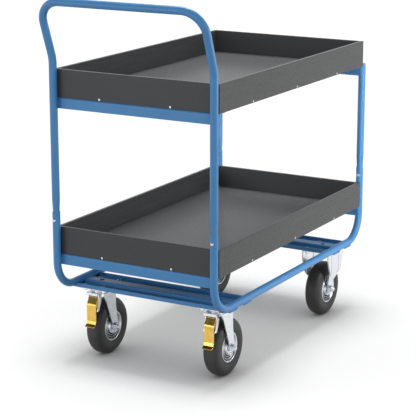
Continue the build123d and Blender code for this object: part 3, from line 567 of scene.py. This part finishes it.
def polar(radius, height, count):
    """A ring of points round the Z axis at a height; the radius is a number or depends on the angle."""
    ring = []
    for i in range(count):
        angle = 2 * math.pi * i / count
        reach = radius(angle) if callable(radius) else radius
        ring.append(Vector((reach * math.cos(angle), reach * math.sin(angle), height)))
    return ring


def hexagon_radius(flats):
    """Distance of a hexagon's outline from its middle, by angle."""
    sixth = math.pi / 3
    return lambda angle: flats / 2 / math.cos((angle + sixth / 2) % sixth - sixth / 2)


def cross_radius(reach, half):
    """Distance of a cross's outline from its middle, by angle."""
    def outline(angle):
        a = max(abs(math.cos(angle)), NEARLY_NOTHING)
        b = max(abs(math.sin(angle)), NEARLY_NOTHING)
        return max(min(reach / a, half / b), min(half / a, reach / b))
    return outline


def standing(point, direction):
    """Places a piece drawn in millimetres along Z so that it stands at a point along a direction."""
    turn = Vector(direction).to_track_quat("Z", "Y").to_matrix().to_4x4()
    return Matrix.Translation(point) @ turn @ Matrix.Scale(MM, 4)


def add_skin(mesh, rings, place, loop=False):
    """Stretches a skin over rings of points, and closes it at its ends or round to its start."""
    rows = [[mesh.verts.new(place @ point) for point in ring] for ring in rings]
    pairs = list(zip(rows, rows[1:]))
    if loop:
        pairs.append((rows[-1], rows[0]))
    for low, high in pairs:
        for i in range(len(low)):
            j = (i + 1) % len(low)
            mesh.faces.new((low[i], low[j], high[j], high[i]))
    if not loop:
        mesh.faces.new(rows[0][::-1])
        mesh.faces.new(rows[-1])


def finish_piece(name, mesh, material, body, nodes=()):
    """Turns a built skin into a smooth piece on a body that stands for the given nodes."""
    bmesh.ops.recalc_face_normals(mesh, faces=mesh.faces)
    data = bpy.data.meshes.new(name)
    mesh.to_mesh(data)
    mesh.free()
    data.shade_smooth()
    data.set_sharp_from_angle(angle=math.radians(SHARP_EDGE_DEG))
    data.materials.append(material)
    piece = bpy.data.objects.new(name, data)
    bpy.context.scene.collection.objects.link(piece)
    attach(piece, body)
    if nodes:
        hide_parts(*nodes)


def corners_of(node):
    """Lowest and highest corner of a node's box."""
    return [Vector(corner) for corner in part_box(node)]


def middle_of(node):
    """Middle of a node's box."""
    low, high = corners_of(node)
    return (low + high) / 2


def tyre_half_section(radius, half_width):
    """Right half of the tyre's section, from its seat round bead and shoulder to the parting line."""
    section = [(TYRE_SEAT_X, TYRE_SEAT_R), (TYRE_SEAT_X, TYRE_LIP_R - TYRE_LIP_EDGE)]
    section += [(half_width - inset, TYRE_LIP_R + rise) for inset, rise in TYRE_BEAD]
    tread_r = radius - TYRE_TREAD_DROP
    for step in range(TYRE_SHOULDER_STEPS):
        angle = math.radians(TYRE_SHOULDER_DEG) * step / (TYRE_SHOULDER_STEPS - 1)
        x = half_width - TYRE_SHOULDER_R + TYRE_SHOULDER_R * math.cos(angle)
        section.append((x, tread_r - TYRE_SHOULDER_R + TYRE_SHOULDER_R * math.sin(angle)))
    section += [(2 * PARTING_HALF, tread_r), (PARTING_HALF, radius)]
    return section


def rim_half_section():
    """Right half of the rim's section, from its seat over the flange and the rings to the bore."""
    inside = RIM_EDGE_X - RIM_FLANGE_WALL
    section = [
        (inside, RIM_SEAT_R),
        (inside, RIM_FLANGE_R - RIM_FLANGE_BACK),
        (inside + RIM_FLANGE_BACK, RIM_FLANGE_R),
    ]
    section += [(RIM_EDGE_X - inset, RIM_FLANGE_R - drop) for inset, drop in RIM_FLANGE_EDGE]
    corner_x, corner_r = RIM_FACE_CORNER
    section += [(RIM_EDGE_X, RIM_FACE_R + corner_r), (RIM_EDGE_X - corner_x, RIM_FACE_R)]
    pitch = (RIM_FACE_R - HUB_R) / RING_COUNT
    for step in range(RING_STEPS * (RING_COUNT - 1) + 1):
        turns = step / RING_STEPS
        wave = RING_HEIGHT * (1 - math.cos(2 * math.pi * turns)) / 2
        x = RIM_EDGE_X - RING_DEPTH - RING_FALL * turns + wave
        section.append((x, RIM_FACE_R - pitch * (turns + 0.5)))
    reach = RIM_EDGE_X + HUB_PROUD
    section += [
        (reach - HUB_EDGE, HUB_R),
        (reach, HUB_R - HUB_EDGE),
        (reach, HUB_BORE_R + HUB_EDGE),
        (reach - HUB_EDGE, HUB_BORE_R),
    ]
    return section


def add_turned(mesh, half_section, centre, count):
    """Turns a section, mirrored about the wheel's middle, round the axle."""
    section = half_section + [(-x, radius) for x, radius in reversed(half_section)]
    rings = [polar(radius, x, count) for x, radius in section]
    add_skin(mesh, rings, standing(centre, (1, 0, 0)), loop=True)


def make_wheels(finishes):
    """Tyres with beaded sidewalls and rims with rolled flanges and rounded rings."""
    for wheel in WHEELS:
        body = f"wheel_{wheel}"
        low, high = corners_of(f"tyre_{wheel}")
        size = (high - low) / MM
        centre = (low + high) / 2
        tyre = bmesh.new()
        add_turned(tyre, tyre_half_section(size.z / 2, size.x / 2), centre, TYRE_SIDES)
        finish_piece(f"rubber_tyre_{wheel}", tyre, finishes["tyre"], body, [f"tyre_{wheel}"])
        rim = bmesh.new()
        add_turned(rim, rim_half_section(), centre, RIM_SIDES)
        finish_piece(f"turned_rim_{wheel}", rim, finishes["rim"], body, [f"rim_{wheel}"])


def add_hexagon_head(mesh, flats, height, bore, place):
    """Hexagon head or nut with its corners chamfered at the free end; its faces are closed in the bore."""
    crown = HEXAGON_CROWN * flats
    slope = math.tan(math.radians(HEXAGON_CHAMFER_DEG))
    side = polar(hexagon_radius(flats), 0, HEAD_SIDES)
    rings = [
        polar(bore, 0, HEAD_SIDES),
        side,
        [Vector((point.x, point.y, height - (point.length - crown) * slope)) for point in side],
        polar(crown, height, HEAD_SIDES),
        polar(bore, height, HEAD_SIDES),
    ]
    add_skin(mesh, rings, place)


def add_lock_collar(mesh, radius, bore, low, high, place):
    """Rolled collar of a lock nut."""
    rings = [polar(radius, low, COLLAR_SIDES)]
    rings += [polar(radius - inset, high - drop, COLLAR_SIDES) for inset, drop in AXLE_COLLAR_ROLL]
    rings.append(polar(bore, high, COLLAR_SIDES))
    add_skin(mesh, rings, place)


def add_bolt_end(mesh, radius, low, high, place):
    """Plain length of a bolt with a chamfered end."""
    rings = [
        polar(radius, low, BOLT_SIDES),
        polar(radius, high - BOLT_CHAMFER, BOLT_SIDES),
        polar(radius - BOLT_CHAMFER, high, BOLT_SIDES),
    ]
    add_skin(mesh, rings, place)


def add_axle(mesh, wheel):
    """Axle bolt of one wheel with its head on the left and a lock nut on the right."""
    low, high = corners_of("swivel_fork_left")
    reach = (high.x - low.x) / 2
    centre = middle_of(f"bearing_{wheel}")
    left = standing(centre - Vector((reach, 0, 0)), (-1, 0, 0))
    right = standing(centre + Vector((reach, 0, 0)), (1, 0, 0))
    add_hexagon_head(mesh, AXLE_FLATS, AXLE_HEAD_HEIGHT, AXLE_HEAD_MIDDLE_R, left)
    add_hexagon_head(mesh, AXLE_FLATS, AXLE_NUT_HEX, AXLE_R, right)
    collar_low = AXLE_NUT_HEX - AXLE_COLLAR_SUNK
    add_lock_collar(mesh, AXLE_COLLAR_R, AXLE_R, collar_low, AXLE_NUT_HEIGHT, right)
    add_bolt_end(mesh, AXLE_R, -2 * reach / MM, AXLE_NUT_HEIGHT + AXLE_TAIL, right)


def make_axles(finishes):
    """Axle bolts and lock nuts of all wheels."""
    for side in SIDES:
        axle = bmesh.new()
        add_axle(axle, f"swivel_{side}")
        finish_piece(f"swivel_axle_set_{side}", axle, finishes["zinc"], f"swivel_{side}",
                     [f"swivel_axle_{side}", f"swivel_axle_nut_{side}"])
    axles = bmesh.new()
    for side in SIDES:
        add_axle(axles, f"fixed_{side}")
    finish_piece("fixed_axle_set", axles, finishes["zinc"], "frame",
                 ["fixed_axles", "fixed_axle_nuts"])


def add_button_head(mesh, radius, height, place):
    """Low domed bolt head with a hexagon socket."""
    dome_turn = math.radians(BUTTON_DOME_DEG)
    rim = BUTTON_RIM * height
    rings = [polar(radius, 0, HEAD_SIDES), polar(radius, rim, HEAD_SIDES)]
    for step in range(1, BUTTON_DOME_STEPS + 1):
        angle = dome_turn * step / BUTTON_DOME_STEPS
        z = rim + (height - rim) * math.sin(angle) / math.sin(dome_turn)
        rings.append(polar(radius * math.cos(BUTTON_NARROWING * angle), z, HEAD_SIDES))
    socket = hexagon_radius(BUTTON_SOCKET_FLATS * radius)
    rings.append(polar(socket, height, HEAD_SIDES))
    rings.append(polar(socket, BUTTON_SOCKET_FLOOR * height, HEAD_SIDES))
    add_skin(mesh, rings, place)


def castor_bolt_places():
    """Places of the castor bolts on the castor plates, four for each."""
    places = []
    for side in SIDES:
        for plate in (f"swivel_plate_{side}", f"fixed_fork_{side}"):
            middle = middle_of(plate)
            top = corners_of(plate)[1].z
            for x in (-BOLT_PITCH_X / 2, BOLT_PITCH_X / 2):
                for y in (-BOLT_PITCH_Y / 2, BOLT_PITCH_Y / 2):
                    places.append(Vector((middle.x + x * MM, middle.y + y * MM, top)))
    return places


def make_bolts(finishes):
    """Castor bolts with socket heads, their nuts, and the small bolts of the tube joints."""
    bolts = bmesh.new()
    nuts = bmesh.new()
    bolt_end = corners_of("castor_bolts")[0].z
    nut_top = corners_of("castor_nuts")[1].z
    for point in castor_bolt_places():
        seat = point + Vector((0, 0, MEMBER_SHEET * MM))
        add_button_head(bolts, CASTOR_HEAD_R, CASTOR_HEAD_HEIGHT, standing(seat, (0, 0, 1)))
        add_bolt_end(bolts, CASTOR_BOLT_R, 0, (seat.z - bolt_end) / MM, standing(seat, (0, 0, -1)))
        under = standing((point.x, point.y, nut_top), (0, 0, -1))
        add_hexagon_head(nuts, CASTOR_NUT_FLATS, CASTOR_NUT_HEIGHT, CASTOR_BOLT_R, under)
    finish_piece("castor_bolt_set", bolts, finishes["zinc"], "frame", ["castor_bolts"])
    finish_piece("castor_nut_set", nuts, finishes["zinc"], "frame", ["castor_nuts"])
    joints = bmesh.new()
    low, high = corners_of("joint_bolts")
    for x in (low.x + JOINT_HEAD_R * MM, high.x - JOINT_HEAD_R * MM):
        for y in (low.y + JOINT_HEAD_HEIGHT * MM, high.y - JOINT_SHANK * MM):
            seat = (x, y, (low.z + high.z) / 2)
            add_button_head(joints, JOINT_HEAD_R, JOINT_HEAD_HEIGHT, standing(seat, (0, -1, 0)))
            add_bolt_end(joints, JOINT_SHANK_R, 0, JOINT_SHANK, standing(seat, (0, 1, 0)))
    finish_piece("joint_bolt_set", joints, finishes["zinc"], "frame", ["joint_bolts"])


def add_screw(mesh, seat, direction, length):
    """Countersunk wood screw with a cross recess; the direction points out of the board."""
    cross = cross_radius(RECESS_REACH, RECESS_HALF)
    face = SCREW_HEAD_EDGE[-1][1]
    rings = [
        polar(SCREW_TIP_R, -length, HEAD_SIDES),
        polar(SCREW_SHANK_R, -length + SCREW_TIP_LENGTH, HEAD_SIDES),
        polar(SCREW_SHANK_R, -SCREW_HEAD_DEPTH, HEAD_SIDES),
    ]
    rings += [polar(SCREW_HEAD_R - inset, -below, HEAD_SIDES) for inset, below in SCREW_HEAD_EDGE]
    rings.append(polar(cross, -face, HEAD_SIDES))
    rings.append(polar(lambda angle: RECESS_TAPER * cross(angle), -RECESS_DEPTH, HEAD_SIDES))
    add_skin(mesh, rings, standing(seat, direction))


def make_tray_screws(finishes):
    """Screws round the foot of both trays, and those up through the tray angles."""
    screws = bmesh.new()
    for level in ("upper", "lower"):
        low = corners_of(f"{level}_tray_left_side")[0]
        high = corners_of(f"{level}_tray_right_side")[1]
        middle = (low + high) / 2
        z = low.z + SCREW_ABOVE_TRAY * MM
        for x in (-END_SCREW_X * MM, END_SCREW_X * MM):
            add_screw(screws, (middle.x + x, low.y, z), (0, -1, 0), SCREW_LENGTH)
            add_screw(screws, (middle.x + x, high.y, z), (0, 1, 0), SCREW_LENGTH)
        for y in (-SIDE_SCREW_Y * MM, 0, SIDE_SCREW_Y * MM):
            add_screw(screws, (low.x, middle.y + y, z), (-1, 0, 0), SCREW_LENGTH)
            add_screw(screws, (high.x, middle.y + y, z), (1, 0, 0), SCREW_LENGTH)
        for end, inward in (("handle_end", 1), ("far_end", -1)):
            angle_low, angle_high = corners_of(f"{level}_angle_{end}")
            face = angle_low.y if inward > 0 else angle_high.y
            for x in (-FIXING_X * MM, FIXING_X * MM):
                seat = (middle.x + x, face + inward * FIXING_INSIDE_FACE * MM, low.z - ANGLE_SHEET * MM)
                add_screw(screws, seat, (0, 0, -1), FIXING_LENGTH)
    finish_piece("tray_screw_set", screws, finishes["zinc"], "frame", ["tray_screws"])


def add_bead(mesh, start, end):
    """Weld bead along a straight line: a rippled run that tapers at its ends."""
    length = (Vector(end) - Vector(start)).length / MM
    steps = round(length / BEAD_RIPPLE_PITCH * BEAD_RIPPLE_STEPS)
    rings = []
    for step in range(steps + 1):
        along = length * step / steps
        ripple = BEAD_RIPPLE * math.cos(2 * math.pi * along / BEAD_RIPPLE_PITCH)
        taper = min(1.0, BEAD_START + min(along, length - along) / BEAD_WIDENING)
        rings.append(polar((BEAD_R + ripple) * taper, along, BEAD_SIDES))
    add_skin(mesh, rings, standing(start, Vector(end) - Vector(start)))


def make_welds(finishes):
    """Painted weld beads between tray angles and posts, and along the tubes on the cross members."""
    welds = bmesh.new()
    for level in ("upper", "lower"):
        for end, outward in (("handle_end", -1), ("far_end", 1)):
            low, high = corners_of(f"{level}_angle_{end}")
            face = low.y if outward < 0 else high.y
            y = face + outward * ANGLE_BEAD_OUT * MM
            foot = low.z + ANGLE_BEAD_ABOVE_FOOT * MM
            top = high.z - ANGLE_BEAD_BELOW_TOP * MM
            for side in SIDES:
                post = middle_of(f"side_tube_{side}").x
                for offset in (-ANGLE_BEAD_OFFSET, ANGLE_BEAD_OFFSET):
                    x = post + offset * MM
                    if low.x + BEAD_R * MM < x < high.x - BEAD_R * MM:
                        add_bead(welds, (x, y, foot), (x, y, top))
    for end in ("handle_end", "far_end"):
        middle = middle_of(f"cross_member_{end}")
        z = corners_of(f"cross_member_{end}")[0].z + (MEMBER_SHEET + MEMBER_BEAD_LIFT) * MM
        for side in SIDES:
            for offset in (-MEMBER_BEAD_OFFSET, MEMBER_BEAD_OFFSET):
                x = middle_of(f"side_tube_{side}").x + offset * MM
                for way in (-MM, MM):
                    start = (x, middle.y + way * MEMBER_BEAD_FROM, z)
                    add_bead(welds, start, (x, middle.y + way * MEMBER_BEAD_TO, z))
    finish_piece("weld_beads", welds, finishes["frame"], "frame")


def add_floor():
    """A white floor that keeps the trolley's soft shadow, with painted shade close round the wheels.

    Less of its light reaches the trolley than the eye.
    """
    half = FLOOR_SIZE / 2
    corners = [(-half, -half, 0), (half, -half, 0), (half, half, 0), (-half, half, 0)]
    mesh = bpy.data.meshes.new("floor")
    mesh.from_pydata(corners, [], [(0, 1, 2, 3)])
    floor = bpy.data.objects.new("floor", mesh)
    bpy.context.scene.collection.objects.link(floor)
    material = bpy.data.materials.new("studio_floor")
    material.use_nodes = True
    tree = material.node_tree
    tree.nodes.clear()
    rays = add_node(tree, "ShaderNodeLightPath")
    seen = add_node(tree, "ShaderNodeMath",
                    links={0: rays.outputs["Is Camera Ray"], 1: rays.outputs["Is Glossy Ray"]},
                    operation="MAXIMUM")
    plain = add_node(tree, "ShaderNodeBsdfDiffuse",
                     {"Color": (FLOOR_BOUNCE, FLOOR_BOUNCE, FLOOR_BOUNCE, 1)})
    lit = add_node(tree, "ShaderNodeBsdfDiffuse", {"Color": (FLOOR_TONE, FLOOR_TONE, FLOOR_TONE, 1)})
    glow = add_node(tree, "ShaderNodeEmission", {"Strength": FLOOR_GLOW})
    white = add_node(tree, "ShaderNodeAddShader",
                     links={0: lit.outputs["BSDF"], 1: glow.outputs["Emission"]})
    # Painted shade: where nearby parts close the floor in, the eye sees the darker plain floor.
    opening = add_node(tree, "ShaderNodeAmbientOcclusion", {"Distance": CONTACT_SHADE_REACH},
                       samples=SHADE_SAMPLES)
    clear = add_node(tree, "ShaderNodeMapRange",
                     {"From Min": CONTACT_SHADE_FULL, "From Max": 1.0, "To Min": 0.0, "To Max": 1.0},
                     {"Value": opening.outputs["AO"]})
    shown = add_node(tree, "ShaderNodeMath", links={0: seen.outputs["Value"], 1: clear.outputs["Result"]},
                     operation="MULTIPLY")
    mixed = add_node(tree, "ShaderNodeMixShader", links={
        "Fac": shown.outputs["Value"], 1: plain.outputs["BSDF"], 2: white.outputs["Shader"]})
    add_node(tree, "ShaderNodeOutputMaterial", links={"Surface": mixed.outputs["Shader"]})
    mesh.materials.append(material)
    return floor


def add_lamp(name, kind, power, width, place, aim, lit, spread=WIDEST_SPREAD_DEG):
    """Stands a lamp at a place and points it at its aim; it lights only the objects listed."""
    light = bpy.data.lights.new(name, kind)
    light.energy = power
    if kind == "SUN":
        light.angle = math.radians(width)
    else:
        light.size = width
        light.spread = math.radians(spread)
    lamp = bpy.data.objects.new(name, light)
    lamp.location = place
    lamp.rotation_mode = "QUATERNION"
    lamp.rotation_quaternion = (Vector(place) - Vector(aim)).to_track_quat("Z", "Y")
    lamp.visible_camera = False
    bpy.context.scene.collection.objects.link(lamp)
    receivers = bpy.data.collections.new(f"{name}_receivers")
    for piece in lit:
        receivers.objects.link(piece)
    lamp.light_linking.receiver_collection = receivers


def light_studio(floor):
    """A soft dome that the eye sees as white, five lamps for the trolley and one for the floor."""
    world = bpy.data.worlds.new("studio")
    bpy.context.scene.world = world
    world.use_nodes = True
    tree = world.node_tree
    rays = add_node(tree, "ShaderNodeLightPath")
    place = add_node(tree, "ShaderNodeTexCoord")
    height = add_node(tree, "ShaderNodeSeparateXYZ", links={"Vector": place.outputs["Generated"]})
    dome = add_node(tree, "ShaderNodeMapRange",
                    {"From Min": 0.0, "From Max": 1.0, "To Min": DOME_HORIZON, "To Max": DOME_ZENITH},
                    {"Value": height.outputs["Z"]})
    ceiling = add_node(tree, "ShaderNodeMapRange",
                       {"From Min": CEILING_FROM, "From Max": CEILING_FULL, "To Min": 1.0,
                        "To Max": CEILING_SEEN},
                       {"Value": height.outputs["Z"]})
    glossy = add_node(tree, "ShaderNodeMix", links={
        "Factor": rays.outputs["Is Glossy Ray"],
        "A": dome.outputs["Result"],
        "B": ceiling.outputs["Result"],
    })
    strength = add_node(tree, "ShaderNodeMix", {"B": 1.0},
                        {"Factor": rays.outputs["Is Camera Ray"], "A": glossy.outputs["Result"]})
    sky = tree.nodes["Background"]
    sky.inputs["Color"].default_value = (1, 1, 1, 1)
    tree.links.new(strength.outputs["Result"], sky.inputs["Strength"])
    trolley = [piece for piece in bpy.context.scene.objects if piece.type == "MESH" and piece != floor]
    painted = [frame["nodes"][part["node"]] for part in frame["record"]["subparts"]
               if part["material_slot"] == "frame"]
    shaded = [frame["nodes"][node] for node in ("lower_tray_base", "lower_tray_far_end")]
    add_lamp("key", "AREA", KEY_POWER, KEY_SIZE, KEY_PLACE, LAMP_AIM, trolley)
    add_lamp("soft_box", "AREA", BOX_POWER, BOX_SIZE, BOX_PLACE, LAMP_AIM, trolley)
    add_lamp("glint", "AREA", GLINT_POWER, GLINT_SIZE, GLINT_PLACE, LAMP_AIM, trolley)
    add_lamp("beam", "AREA", BEAM_POWER, BEAM_SIZE, BEAM_PLACE, BEAM_AIM, painted, BEAM_SPREAD_DEG)
    add_lamp("fill", "AREA", FILL_POWER, FILL_SIZE, FILL_PLACE, FILL_AIM, shaded)
    add_lamp("floor_lamp", "SUN", FLOOR_LAMP_STRENGTH, FLOOR_LAMP_WIDTH_DEG, FLOOR_LAMP_PLACE, LAMP_AIM,
             [floor])


def add_camera():
    """The camera at the photograph's place."""
    lens = bpy.data.cameras.new("camera")
    lens.lens = LENS_MM
    lens.sensor_width = SENSOR_MM
    camera = bpy.data.objects.new("camera", lens)
    camera.location = CAMERA_PLACE
    camera.rotation_euler = (math.radians(90 - CAMERA_DIP_DEG), 0, math.radians(CAMERA_TURN_DEG))
    bpy.context.scene.collection.objects.link(camera)
    bpy.context.scene.camera = camera


def build_scene():
    """Dresses the frame, adds the detail pieces and sets up the studio."""
    bpy.context.scene.view_settings.view_transform = "Standard"
    finishes = make_finishes()
    dress_frame(finishes)
    make_wheels(finishes)
    make_axles(finishes)
    make_bolts(finishes)
    make_tray_screws(finishes)
    make_welds(finishes)
    light_studio(add_floor())
    add_camera()


build_scene()
